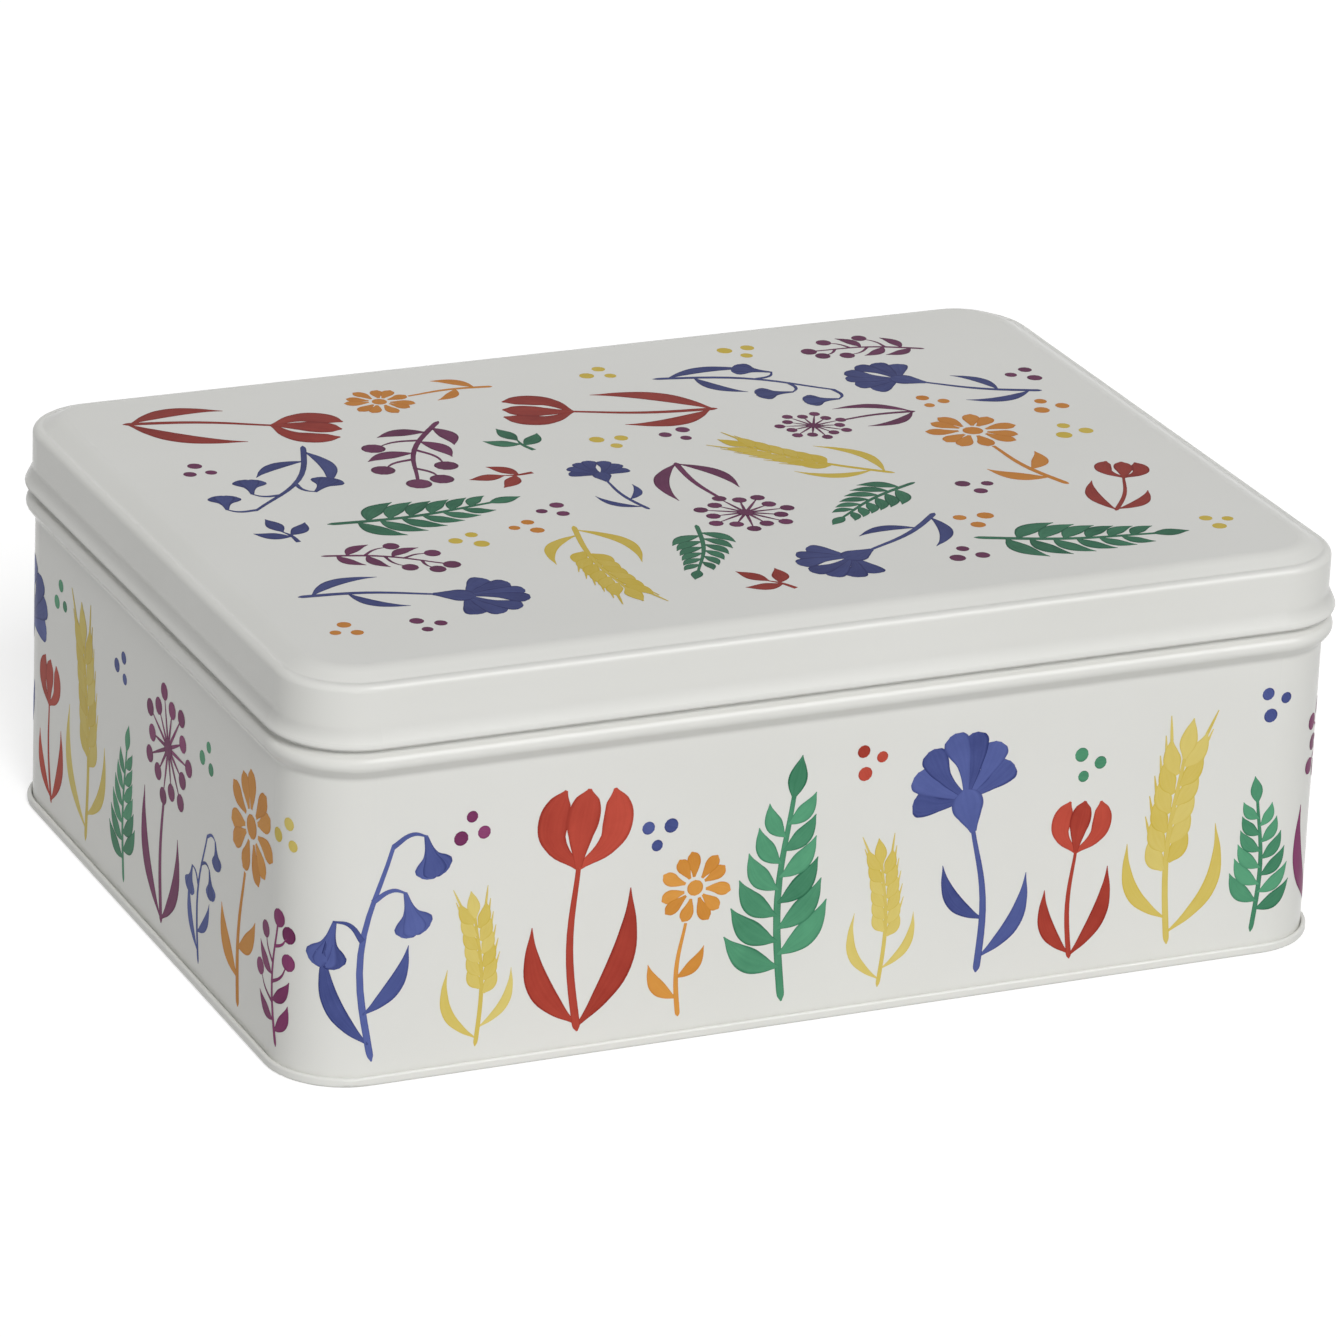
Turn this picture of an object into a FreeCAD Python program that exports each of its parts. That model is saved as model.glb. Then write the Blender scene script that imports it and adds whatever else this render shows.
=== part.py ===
import FreeCAD, Part
import math
import os
import Sketcher
from FreeCAD import Vector

# Storage tin: a lift-off lid, a wrapped side wall and a seamed base.
# Frame: X along the length, Y to the back, Z up, origin on the floor under the middle of the tin.

doc = FreeCAD.newDocument("StorageTin")

# Driving sizes, in millimetres, and angles in degrees
sheet = doc.addObject("Spreadsheet::Sheet", "Sizes")
driving_sizes = [
    ("body_length", 240.0, "outside of the side wall along X"),
    ("body_depth", 175.0, "outside of the side wall along Y"),
    ("corner_radius", 16.0, "outside of the side wall at its upright corners"),
    ("sheet_thickness", 0.3, "tinplate of all three pieces"),
    ("seat_height", 75.1, "floor to the bottom of the lid's rim"),
    ("lid_clearance", 0.45, "gap between the lid and the side wall inside it"),
    ("lid_height", 13.9, "bottom of the lid's rim to the top of its ledge"),
    ("shoulder_radius", 1.5, "outside bend between the lid's skirt and its ledge"),
    ("ledge_width", 0.4, "flat ledge between the shoulder and the slope"),
    ("panel_rise", 2.0, "top of the ledge to the top of the panel"),
    ("slope_angle", 27.0, "slope between the ledge and the panel, from the level"),
    ("slope_foot_radius", 1.0, "hollow bend at the foot of the slope"),
    ("slope_top_radius", 5.5, "round bend at the top of the slope"),
    ("panel_lap", 1.0, "flat edge of a formed rim that its panel runs into"),
    ("flare_radius", 1.5, "hollow bend where the skirt flares out into the rim"),
    ("flare_angle", 26.0, "slope of the flare where it meets the rim, from the upright"),
    ("flare_straight", 3.0, "straight run between the flare and the rim"),
    ("curl_crown_radius", 1.3, "outside of the turned rim"),
    ("curl_return", 0.4, "flat run under the rim, back to the cut edge"),
    ("bead_reach", 2.1, "how far the bead stands out from the side wall"),
    ("bead_crown_radius", 2.0, "outside of the bead's round"),
    ("bead_drop", 3.3, "bottom of the lid's rim to the middle of the bead's round"),
    ("bead_foot_radius", 1.9, "hollow bend below the bead"),
    ("bead_foot_angle", 37.0, "slope of the bead's underside, from the upright"),
    ("bead_neck_angle", 62.0, "slope of the bead's top where it meets the neck, from the upright"),
    ("bead_neck_straight", 0.1, "straight run between the bead's round and the neck bend"),
    ("mouth_radius", 1.45, "outside of the side wall's rolled mouth"),
    ("mouth_clearance", 0.15, "gap between the rolled mouth and the lid's ledge over it"),
    ("seam_height", 2.2, "floor to the top of the base seam"),
    ("seam_clearance", 0.1, "gap between the folded layers of the base seam"),
    ("seam_corner_radius", 0.5, "inside bends at the bottom of the base seam"),
    ("hook_clearance", 0.2, "how far each hook stops short of the bend it reaches into"),
    ("base_recess", 2.5, "floor to the underside of the base panel"),
    ("base_bend_radius", 1.0, "inside bend between the base panel and its rim"),
    ("side_seam_width", 6.0, "width of the folded side seam at the back"),
    ("side_seam_margin", 1.5, "how far the side seam stops short of the base and the bead"),
    ("side_seam_line_width", 0.5, "line that the folded edge leaves on the outside"),
    ("side_seam_line_depth", 0.12, "depth of that line"),
]
for row, (alias, value, note) in enumerate(driving_sizes, start=1):
    sheet.set("A%d" % row, alias)
    sheet.set("B%d" % row, str(value))
    sheet.set("C%d" % row, note)
    sheet.setAlias("B%d" % row, alias)
doc.recompute()

half_share = 0.5
side_seam_layers = 2.0
quarter_turn = 90.0
half_turn = 180.0


class Size:
    # A size that carries its formula in sheet terms beside its present value

    def __init__(self, formula, value):
        self.formula = formula
        self.value = value

    def __add__(self, other):
        return Size("(%s + %s)" % (self.formula, other.formula), self.value + other.value)

    def __sub__(self, other):
        return Size("(%s - %s)" % (self.formula, other.formula), self.value - other.value)

    def __mul__(self, factor):
        return Size("(%s * %r)" % (self.formula, factor), self.value * factor)

    def __neg__(self):
        return Size("(0 - %s)" % self.formula, -self.value)

    def times(self, other):
        return Size("(%s * %s)" % (self.formula, other.formula), self.value * other.value)

    def over(self, other):
        return Size("(%s / %s)" % (self.formula, other.formula), self.value / other.value)


def size(alias):
    return Size("Sizes.%s" % alias, float(sheet.get(alias)))


def number(value):
    return Size(repr(value), value)


def sine(angle):
    return Size("sin(%s * 1deg)" % angle.formula, math.sin(math.radians(angle.value)))


def cosine(angle):
    return Size("cos(%s * 1deg)" % angle.formula, math.cos(math.radians(angle.value)))


nothing = number(0.0)
whole = number(1.0)
thickness = size("sheet_thickness")
half_length = size("body_length") * half_share
half_depth = size("body_depth") * half_share
corner_radius = size("corner_radius")


class Outline:
    # Collects the lines, arcs and driven dimensions of one sketch

    def __init__(self, sketch):
        self.sketch = sketch
        self.shapes = []
        self.rules = []
        self.formulas = {}

    def line(self, start, end):
        self.shapes.append(Part.LineSegment(Vector(*start), Vector(*end)))
        return len(self.shapes) - 1

    def join(self, first, second):
        self.rules.append(Sketcher.Constraint("Coincident", first[0], first[1], second[0], second[1]))

    def drive(self, kind, target, amount):
        if kind == "Radius":
            rule = Sketcher.Constraint(kind, target[0], amount.value)
        else:
            rule = Sketcher.Constraint(kind, -1, 1, target[0], target[1], amount.value)
        self.formulas[len(self.rules)] = amount.formula
        self.rules.append(rule)

    def place(self, point, along, up):
        self.drive("DistanceX", point, along)
        self.drive("DistanceY", point, up)

    def arc(self, centre, radius, from_angle, to_angle):
        # Driven by its centre, its radius and the steadier coordinate of each end.
        # Returns the two ends, in the order given, as (shape, point) with their places.
        turns_left = to_angle.value > from_angle.value
        low, high = (from_angle, to_angle) if turns_left else (to_angle, from_angle)
        middle = Vector(centre[0].value, centre[1].value, 0)
        circle = Part.Circle(middle, Vector(0, 0, 1), radius.value)
        self.shapes.append(Part.ArcOfCircle(circle, math.radians(low.value), math.radians(high.value)))
        shape = len(self.shapes) - 1
        self.place((shape, 3), centre[0], centre[1])
        self.drive("Radius", (shape, 0), radius)
        ends = []
        for angle, point in ((low, 1), (high, 2)):
            along = centre[0] + radius.times(cosine(angle))
            up = centre[1] + radius.times(sine(angle))
            if abs(math.sin(math.radians(angle.value))) > abs(math.cos(math.radians(angle.value))):
                self.drive("DistanceX", (shape, point), along)
            else:
                self.drive("DistanceY", (shape, point), up)
            ends.append(((shape, point), along, up))
        return ends if turns_left else ends[::-1]

    def link(self, first, second):
        # A straight line from one placed end to another
        shape = self.line((first[1].value, first[2].value, 0), (second[1].value, second[2].value, 0))
        self.join((shape, 1), first[0])
        self.join((shape, 2), second[0])
        return shape

    def finish(self):
        self.sketch.addGeometry(self.shapes, False)
        self.sketch.addConstraint(self.rules)
        for rule, formula in self.formulas.items():
            self.sketch.setExpression("Constraints[%d]" % rule, formula)


def new_sketch(body, name, role, offset=None):
    plane = next(item for item in body.Origin.OriginFeatures if item.Role == role)
    sketch = body.newObject("Sketcher::SketchObject", name)
    sketch.AttachmentSupport = [(plane, "")]
    sketch.MapMode = "FlatFace"
    if offset is not None:
        sketch.setExpression("AttachmentOffset.Base.z", offset.formula)
    return sketch


def rounded_rectangle(sketch, inset, split=False):
    # The side wall's plan, moved in by an inset. A split one starts halfway along its right side.
    outline = Outline(sketch)
    reach_x = half_length - corner_radius
    reach_y = half_depth - corner_radius
    radius = corner_radius - inset
    ends = []
    for turn, (along, up) in enumerate(((reach_x, reach_y), (-reach_x, reach_y),
                                        (-reach_x, -reach_y), (reach_x, -reach_y))):
        from_angle = number(turn * quarter_turn)
        to_angle = number((turn + 1) * quarter_turn)
        ends.append(outline.arc((along, up), radius, from_angle, to_angle))
    for here, after in zip(ends[:-1], ends[1:]):
        outline.link(here[1], after[0])
    if split:
        side = (half_length - inset).value
        first = outline.line((side, 0, 0), (side, reach_y.value, 0))
        last = outline.line((side, -reach_y.value, 0), (side, 0, 0))
        outline.join((first, 2), ends[0][0][0])
        outline.join((last, 1), ends[-1][1][0])
        outline.join((last, 2), (first, 1))
        outline.rules.append(Sketcher.Constraint("PointOnObject", first, 1, -1))
    else:
        outline.link(ends[-1][1], ends[0][0])
    outline.finish()


def bent_sheet(sketch, bends, lead_in, lead_out):
    # A sheet seen edge on: bends in order, each (centre, inside radius, from angle, to angle), joined
    # by straight runs. A lead is the straight run, as (along, up), from a cut edge to its bend.
    outline = Outline(sketch)
    sides = []
    for left in (True, False):
        ends = []
        for centre, inside_radius, from_angle, to_angle in bends:
            turns_left = to_angle.value > from_angle.value
            radius = inside_radius if turns_left == left else inside_radius + thickness
            ends.append(outline.arc(centre, radius, from_angle, to_angle))
        for here, after in zip(ends[:-1], ends[1:]):
            outline.link(here[1], after[0])
        sides.append((ends[0][0], ends[-1][1]))
    for which, lead in ((0, lead_in), (1, lead_out)):
        cut_ends = []
        for side in sides:
            bend_end = side[which]
            if lead is None:
                cut_ends.append(bend_end)
                continue
            along = bend_end[1] + lead[0]
            up = bend_end[2] + lead[1]
            shape = outline.line((bend_end[1].value, bend_end[2].value, 0), (along.value, up.value, 0))
            outline.join((shape, 1), bend_end[0])
            outline.place((shape, 2), along, up)
            cut_ends.append(((shape, 2), along, up))
        outline.link(cut_ends[0], cut_ends[1])
    outline.finish()


def formed_rim(body, bends, lead_in, lead_out):
    # Sweeps the sheet's section round the plan of the side wall
    spine = new_sketch(body, "%sSpine" % body.Name, "XY_Plane")
    rounded_rectangle(spine, nothing, split=True)
    section = new_sketch(body, "%sSection" % body.Name, "XZ_Plane")
    bent_sheet(section, bends, lead_in, lead_out)
    rim = body.newObject("PartDesign::AdditivePipe", "%sRim" % body.Name)
    rim.Profile = section
    rim.Spine = spine
    return rim


def flat_panel(body, inset, underside):
    # The level middle of a pressed sheet, lapped into the edge of its formed rim
    plan = new_sketch(body, "%sPlan" % body.Name, "XY_Plane", underside)
    rounded_rectangle(plan, inset)
    panel = body.newObject("PartDesign::Pad", "%sPanel" % body.Name)
    panel.Profile = plan
    panel.setExpression("Length", thickness.formula)
    return panel


def angles(first, last):
    return number(first), number(last)


# Lid, drawn upward from the bottom of its rim and then raised to its seat
lid_height = size("lid_height")
skirt = half_length + size("lid_clearance") + thickness
shoulder_radius = size("shoulder_radius")
shoulder = (skirt - shoulder_radius, lid_height - shoulder_radius)
slope_angle = size("slope_angle")
slope_radii = size("slope_foot_radius") + size("slope_top_radius")
slope_bend_rise = slope_radii.times(whole - cosine(slope_angle))
slope_straight_rise = size("panel_rise") - slope_bend_rise
slope_straight_run = slope_straight_rise.times(cosine(slope_angle)).over(sine(slope_angle))
slope_foot = shoulder[0] - size("ledge_width")
slope_top = slope_foot - slope_radii.times(sine(slope_angle)) - slope_straight_run
panel_top = lid_height + size("panel_rise")
flare_radius = size("flare_radius")
flare_angle = size("flare_angle")
flare_straight = size("flare_straight")
curl_crown_radius = size("curl_crown_radius")
curl_radii = flare_radius + curl_crown_radius
flare_drop = curl_radii.times(sine(flare_angle)) + flare_straight.times(cosine(flare_angle))
flare_run = flare_straight.times(sine(flare_angle)) - curl_radii.times(cosine(flare_angle))
flare = (skirt + flare_radius, curl_crown_radius + flare_drop)
curl_crown = (flare[0] + flare_run, curl_crown_radius)
panel_lap = size("panel_lap")

lid = doc.addObject("PartDesign::Body", "Lid")
lid.Label = "lid"
lid_bends = [
    ((slope_top, panel_top - size("slope_top_radius")), size("slope_top_radius") - thickness,
     number(quarter_turn), number(quarter_turn) - slope_angle),
    ((slope_foot, lid_height + size("slope_foot_radius")), size("slope_foot_radius"),
     number(half_turn + quarter_turn) - slope_angle, number(half_turn + quarter_turn)),
    (shoulder, shoulder_radius - thickness, *angles(quarter_turn, 0.0)),
    (flare, flare_radius, number(half_turn), number(half_turn) + flare_angle),
    (curl_crown, curl_crown_radius - thickness, flare_angle, number(-quarter_turn)),
]
formed_rim(lid, lid_bends, (-panel_lap, nothing), (-size("curl_return"), nothing))
flat_panel(lid, half_length - slope_top + panel_lap * half_share, panel_top - thickness)
lid.setExpression("Placement.Base.z", "Sizes.seat_height")

# Side wall, from the tip of its foot hook up to its rolled mouth
seam_clearance = size("seam_clearance")
hook_inside_radius = thickness * half_share + seam_clearance
hook_outside_radius = hook_inside_radius + thickness
foot_bend = (half_length + hook_inside_radius, thickness + seam_clearance + hook_outside_radius)
cover_bend_height = size("seam_height") - hook_outside_radius
hook_reach = cover_bend_height - foot_bend[1] - size("hook_clearance")
seat_height = size("seat_height")
bead_crown_radius = size("bead_crown_radius")
bead_foot_radius = size("bead_foot_radius")
foot_angle = size("bead_foot_angle")
neck_angle = size("bead_neck_angle")
neck_straight = size("bead_neck_straight")
bead_crown = (half_length + size("bead_reach") - bead_crown_radius, seat_height - size("bead_drop"))
bead_radii = bead_crown_radius + bead_foot_radius
foot_slope_reach = size("bead_reach") - bead_radii.times(whole - cosine(foot_angle))
foot_slope_drop = foot_slope_reach.times(cosine(foot_angle)).over(sine(foot_angle))
bead_bottom = bead_crown[1] - bead_radii.times(sine(foot_angle)) - foot_slope_drop
neck_turn = whole - cosine(neck_angle)
neck_straight_reach = neck_straight.times(sine(neck_angle))
neck_reach = size("bead_reach") - bead_crown_radius.times(neck_turn) - neck_straight_reach
neck_radius = neck_reach.over(neck_turn)
neck_straight_rise = neck_straight.times(cosine(neck_angle))
neck_rise = (bead_crown_radius + neck_radius).times(sine(neck_angle)) + neck_straight_rise
mouth_radius = size("mouth_radius")
mouth_top = seat_height + lid_height - thickness - size("mouth_clearance")

body_wall = doc.addObject("PartDesign::Body", "BodyWall")
body_wall.Label = "body_wall"
wall_bends = [
    (foot_bend, hook_inside_radius, *angles(0.0, -half_turn)),
    ((half_length + bead_foot_radius, bead_bottom), bead_foot_radius,
     number(half_turn), number(half_turn) - foot_angle),
    (bead_crown, bead_crown_radius - thickness, -foot_angle, neck_angle),
    ((half_length + neck_radius, bead_crown[1] + neck_rise), neck_radius,
     number(half_turn) + neck_angle, number(half_turn)),
    ((half_length - mouth_radius, mouth_top - mouth_radius), mouth_radius - thickness,
     *angles(0.0, half_turn + quarter_turn)),
]
formed_rim(body_wall, wall_bends, (nothing, hook_reach), None)

# Folded side seam: a flat strip inside the back wall and the line of its edge outside
seam_bottom = size("base_recess") + thickness + size("side_seam_margin")
seam_top = bead_bottom - size("side_seam_margin")


def upright_strip(body, name, width, offset):
    sketch = new_sketch(body, name, "XZ_Plane", offset)
    outline = Outline(sketch)
    half_width = width * half_share
    corners = ((-half_width, seam_bottom), (half_width, seam_bottom),
               (half_width, seam_top), (-half_width, seam_top))
    count = len(corners)
    for index, (along, up) in enumerate(corners):
        after = corners[(index + 1) % count]
        outline.line((along.value, up.value, 0), (after[0].value, after[1].value, 0))
        outline.place((index, 1), along, up)
    for index in range(count):
        outline.join((index, 2), ((index + 1) % count, 1))
    outline.finish()
    return sketch


strip = body_wall.newObject("PartDesign::Pad", "SideSeamStrip")
strip.Profile = upright_strip(body_wall, "SideSeamPlan", size("side_seam_width"),
                              thickness * half_share - half_depth)
strip.setExpression("Length", (thickness * side_seam_layers + thickness * half_share).formula)
doc.recompute()
whole_volume = body_wall.Shape.Volume
seam_line = body_wall.newObject("PartDesign::Pocket", "SideSeamLine")
seam_line.Profile = upright_strip(body_wall, "SideSeamLinePlan", size("side_seam_line_width"), -half_depth)
seam_line.setExpression("Length", size("side_seam_line_depth").formula)
seam_line.Reversed = True

# Base plate, from its recessed panel out and over the foot hook of the side wall
base_recess = size("base_recess")
base_bend_radius = size("base_bend_radius")
seam_corner_radius = size("seam_corner_radius")
chuck_face = half_length - thickness - seam_clearance
base_bend = (chuck_face - thickness - base_bend_radius, base_recess - base_bend_radius)
seam_wall_face = foot_bend[0] + hook_outside_radius + seam_clearance
cover_bend_side = seam_wall_face - hook_inside_radius
seam_corner_height = thickness + seam_corner_radius

base_plate = doc.addObject("PartDesign::Body", "BasePlate")
base_plate.Label = "base_plate"
base_bends = [
    (base_bend, base_bend_radius, *angles(quarter_turn, 0.0)),
    ((chuck_face + seam_corner_radius, seam_corner_height), seam_corner_radius,
     *angles(half_turn, half_turn + quarter_turn)),
    ((seam_wall_face - seam_corner_radius, seam_corner_height), seam_corner_radius,
     *angles(-quarter_turn, 0.0)),
    ((cover_bend_side, cover_bend_height), hook_inside_radius, *angles(0.0, half_turn)),
]
formed_rim(base_plate, base_bends, (-panel_lap, nothing), (nothing, -hook_reach))
flat_panel(base_plate, half_length - base_bend[0] + panel_lap * half_share, base_recess)

doc.recompute()

# Checks before anything is written
assert body_wall.Shape.Volume < whole_volume, "the side seam line cut nothing"
for item in doc.Objects:
    faults = [state for state in item.State if state in ("Invalid", "Error")]
    assert not faults, "%s: %s" % (item.Label, faults)

os.makedirs("parts", exist_ok=True)
for body in (lid, body_wall, base_plate):
    shape = body.Shape
    assert not shape.isNull() and shape.isValid(), "%s has no valid shape" % body.Label
    assert len(shape.Solids) == 1, "%s is not one solid" % body.Label
    shape.exportStep("parts/%s.step" % body.Label)
    box = shape.BoundBox
    print(body.Label, "volume", round(shape.Volume, 1), "box", [round(edge, 3) for edge in (
        box.XMin, box.YMin, box.ZMin, box.XMax, box.YMax, box.ZMax)])
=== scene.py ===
import bpy
import math
import random
from collections import namedtuple
from mathutils import Matrix, Vector


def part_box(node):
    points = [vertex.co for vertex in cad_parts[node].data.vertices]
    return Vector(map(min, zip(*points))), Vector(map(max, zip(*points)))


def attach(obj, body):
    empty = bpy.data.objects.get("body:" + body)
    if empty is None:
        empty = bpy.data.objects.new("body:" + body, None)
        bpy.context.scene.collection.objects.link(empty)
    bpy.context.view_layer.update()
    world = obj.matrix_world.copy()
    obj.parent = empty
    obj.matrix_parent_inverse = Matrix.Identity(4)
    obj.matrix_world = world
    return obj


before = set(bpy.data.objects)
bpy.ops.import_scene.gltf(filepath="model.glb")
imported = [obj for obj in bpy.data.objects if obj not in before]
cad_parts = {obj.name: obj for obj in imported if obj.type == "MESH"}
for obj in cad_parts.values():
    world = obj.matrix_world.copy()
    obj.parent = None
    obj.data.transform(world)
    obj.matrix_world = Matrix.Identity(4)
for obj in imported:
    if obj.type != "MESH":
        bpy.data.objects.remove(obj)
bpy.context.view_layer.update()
mm = 0.001
scene = bpy.context.scene
scene.view_settings.view_transform = "Standard"
print("frame loaded:", ", ".join(sorted(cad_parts)))


# Small helpers for picking objects and wiring nodes

def pick(piece):
    bpy.ops.object.select_all(action="DESELECT")
    piece.select_set(True)
    bpy.context.view_layer.objects.active = piece


def feed(tree, node, inputs):  # a socket is linked, a plain value is set
    for name, value in inputs.items():
        if isinstance(value, bpy.types.NodeSocket):
            tree.links.new(value, node.inputs[name])
        else:
            node.inputs[name].default_value = value


def addNode(tree, kind, inputs=None, **settings):
    node = tree.nodes.new("ShaderNode" + kind)
    for name, value in settings.items():
        setattr(node, name, value)
    feed(tree, node, inputs or {})
    return node


def calc(tree, operation, first, second=0.0, third=0.0):
    return addNode(tree, "Math", {0: first, 1: second, 2: third}, operation=operation).outputs[0]


def blendValue(tree, share, low, high):
    return addNode(tree, "Mix", {0: share, 2: low, 3: high}, data_type="FLOAT").outputs[0]


def blendColour(tree, share, low, high):
    return addNode(tree, "Mix", {0: share, 6: low, 7: high}, data_type="RGBA").outputs[2]


def ramp(tree, value, low, high, toLow=0.0, toHigh=1.0):
    return addNode(tree, "MapRange", {0: value, 1: low, 2: high, 3: toLow, 4: toHigh},
                   interpolation_type="SMOOTHSTEP").outputs[0]


def speckle(tree, where, scale, detail=2.0, rough=0.5):
    return addNode(tree, "TexNoise", {
        "Vector": where, "Scale": scale, "Detail": detail, "Roughness": rough}).outputs["Fac"]


def splitXYZ(tree, vector):
    return addNode(tree, "SeparateXYZ", {0: vector}).outputs


def joinXYZ(tree, x, y, z):
    return addNode(tree, "CombineXYZ", {"X": x, "Y": y, "Z": z}).outputs[0]


def unit(tree, vector):
    return addNode(tree, "VectorMath", {0: vector}, operation="NORMALIZE").outputs[0]


def newGroup(name, inputs, outputs):
    group = bpy.data.node_groups.new(name, "ShaderNodeTree")
    for label, value in inputs.items():
        socket = group.interface.new_socket(name=label, in_out="INPUT", socket_type="NodeSocketFloat")
        socket.default_value = value
    for label, kind in outputs.items():
        group.interface.new_socket(name=label, in_out="OUTPUT", socket_type="NodeSocket" + kind)
    return group, group.nodes.new("NodeGroupInput").outputs, group.nodes.new("NodeGroupOutput").inputs


def placeGroup(tree, group, values=None):
    node = tree.nodes.new("ShaderNodeGroup")
    node.node_tree = group
    feed(tree, node, values or {})
    return node.outputs


def newMaterial(name):
    material = bpy.data.materials.new(name)
    material.use_nodes = True
    tree = material.node_tree
    return material, tree, tree.nodes["Principled BSDF"].inputs


def fromScreen(*levels):  # screen colour of 0 to 255 as the linear colour that nodes take
    shares = [level / 255 for level in levels]
    linear = [share / 12.92 if share <= 0.04 else ((share + 0.055) / 1.055) ** 2.4 for share in shares]
    return (*linear, 1.0)


# Which face of the sheet a point is on: outside is enamelled, inside is bare tinplate

def makeSheetSide():
    group, given, out = newGroup(
        "sheetSide", {"Middle Height": 0.04, "Rim Height": 1.0, "Turn": 0.0}, {"Inside": "Float"})
    where = addNode(group, "TexCoord").outputs
    parts = splitXYZ(group, where["Object"])
    height = calc(group, "SUBTRACT", parts["Z"], given["Middle Height"])
    outward = unit(group, joinXYZ(group, parts["X"], parts["Y"], height))
    facing = addNode(group, "VectorMath", {0: outward, 1: where["Normal"]},
                     operation="DOT_PRODUCT").outputs["Value"]
    inward = calc(group, "LESS_THAN", facing, given["Turn"])
    # a rolled rim shows its outer face
    belowRim = calc(group, "LESS_THAN", parts["Z"], given["Rim Height"])
    group.links.new(calc(group, "MULTIPLY", inward, belowRim), out["Inside"])
    return group


def makePanelSide():  # the base: only its level panel and the bend beside it face into the tin
    group, given, out = newGroup("panelSide", {"Height": 0.0023}, {"Inside": "Float"})
    where = addNode(group, "TexCoord").outputs
    above = calc(group, "GREATER_THAN", splitXYZ(group, where["Object"])["Z"], given["Height"])
    upward = calc(group, "GREATER_THAN", splitXYZ(group, where["Normal"])["Z"], 0.0)
    group.links.new(calc(group, "MULTIPLY", upward, above), out["Inside"])
    return group


def makeRimEase():  # enamel fills the bend over the lid's rim, so the rim leaves the skirt by degrees
    group, given, out = newGroup(
        "rimEase", {"Inside": 0.0, "Start": 0.0803, "Foot": 0.0768, "Edge": 0.0756, "Lean": 0.5},
        {"Normal": "Vector"})
    height = splitXYZ(group, addNode(group, "TexCoord").outputs["Object"])["Z"]
    facing = splitXYZ(group, addNode(group, "NewGeometry").outputs["Normal"])
    ease = addNode(group, "MapRange", {0: height, 1: given["Start"], 2: given["Foot"]}).outputs[0]
    ease = calc(group, "MULTIPLY", ease, ease)
    ease = calc(group, "MAXIMUM", ease, calc(group, "GREATER_THAN", height, given["Start"]))
    lean = calc(group, "MULTIPLY", facing["Z"], ease)
    onLip = calc(group, "MULTIPLY", calc(group, "LESS_THAN", height, given["Foot"]),
                 calc(group, "GREATER_THAN", height, given["Edge"]))
    lean = blendValue(group, onLip, lean, calc(group, "MAXIMUM", lean, given["Lean"]))
    lean = blendValue(group, given["Inside"], lean, facing["Z"])
    group.links.new(unit(group, joinXYZ(group, facing["X"], facing["Y"], lean)), out["Normal"])
    return group


# Fired white enamel: faint clouding, orange peel, and slightly duller where hands have been

enamel = {
    "pale": fromScreen(232, 232, 228),
    "deep": fromScreen(224, 224, 219),
    "gloss": 0.30,         # roughness of the enamel itself
    "dull": 0.42,          # roughness where it has been handled
    "coat": 0.50,          # weight of the clear varnish
    "coatRough": 0.12,
    "shine": 0.02,         # specular level under the varnish
    "peelDepth": 0.004 * mm,
    "peelScale": 900.0,    # scales are of the noise, per metre
    "cloudScale": 18.0,
    "handScale": 34.0,
    "handFrom": 0.35,      # noise that counts as not handled, and as fully handled
    "handTo": 0.75,
    "swayScale": 26.0,     # the sheet is never quite flat
    "swayDepth": 6.0,      # against the peel
}


def makeEnamelSkin():
    group, given, out = newGroup(
        "enamelSkin", {"Peel Scale": enamel["peelScale"], "Cloud Scale": enamel["cloudScale"]},
        {"Cloud": "Float", "Handled": "Float", "Height": "Float"})
    where = addNode(group, "TexCoord").outputs["Object"]
    hands = speckle(group, where, enamel["handScale"], detail=5.0, rough=0.6)
    peel = speckle(group, where, given["Peel Scale"], detail=1.0)
    sway = speckle(group, where, enamel["swayScale"], detail=1.0)
    group.links.new(speckle(group, where, given["Cloud Scale"], detail=3.0), out["Cloud"])
    group.links.new(ramp(group, hands, enamel["handFrom"], enamel["handTo"]), out["Handled"])
    group.links.new(calc(group, "MULTIPLY_ADD", sway, enamel["swayDepth"], peel), out["Height"])
    return group


# Bare tinplate: rolling lines along the sheet under a clear lacquer

bareTin = {
    "dark": (0.36, 0.357, 0.348, 1.0),
    "light": (0.50, 0.494, 0.478, 1.0),
    "smooth": 0.36,        # least and most roughness
    "rough": 0.54,
    "roughFrom": 0.3,      # tone at which it is smooth
    "drawn": (14.0, 1500.0, 1500.0),  # the lines are long in X and fine across it
    "cloudScale": 22.0,
    "spangleScale": 240.0,
    "spangle": 0.4,
    "lineDepth": 0.0015 * mm,
}


def makeTinplate():
    group, given, out = newGroup(
        "tinplate", {"Line Scale": 1.0}, {"Colour": "Color", "Roughness": "Float", "Height": "Float"})
    where = addNode(group, "TexCoord").outputs["Object"]
    drawn = addNode(group, "Mapping", {"Vector": where, "Scale": bareTin["drawn"]}).outputs[0]
    lines = speckle(group, drawn, given["Line Scale"], detail=4.0, rough=0.65)
    cloud = speckle(group, where, bareTin["cloudScale"], detail=4.0)
    spangle = speckle(group, where, bareTin["spangleScale"])
    tone = calc(group, "MULTIPLY_ADD", lines, 0.5, calc(group, "MULTIPLY", cloud, 0.5))
    mottle = calc(group, "MULTIPLY_ADD", spangle, bareTin["spangle"], tone)
    group.links.new(blendColour(group, tone, bareTin["dark"], bareTin["light"]), out["Colour"])
    group.links.new(ramp(group, mottle, bareTin["roughFrom"], 1.0, bareTin["smooth"], bareTin["rough"]),
                    out["Roughness"])
    group.links.new(lines, out["Height"])
    return group


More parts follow.
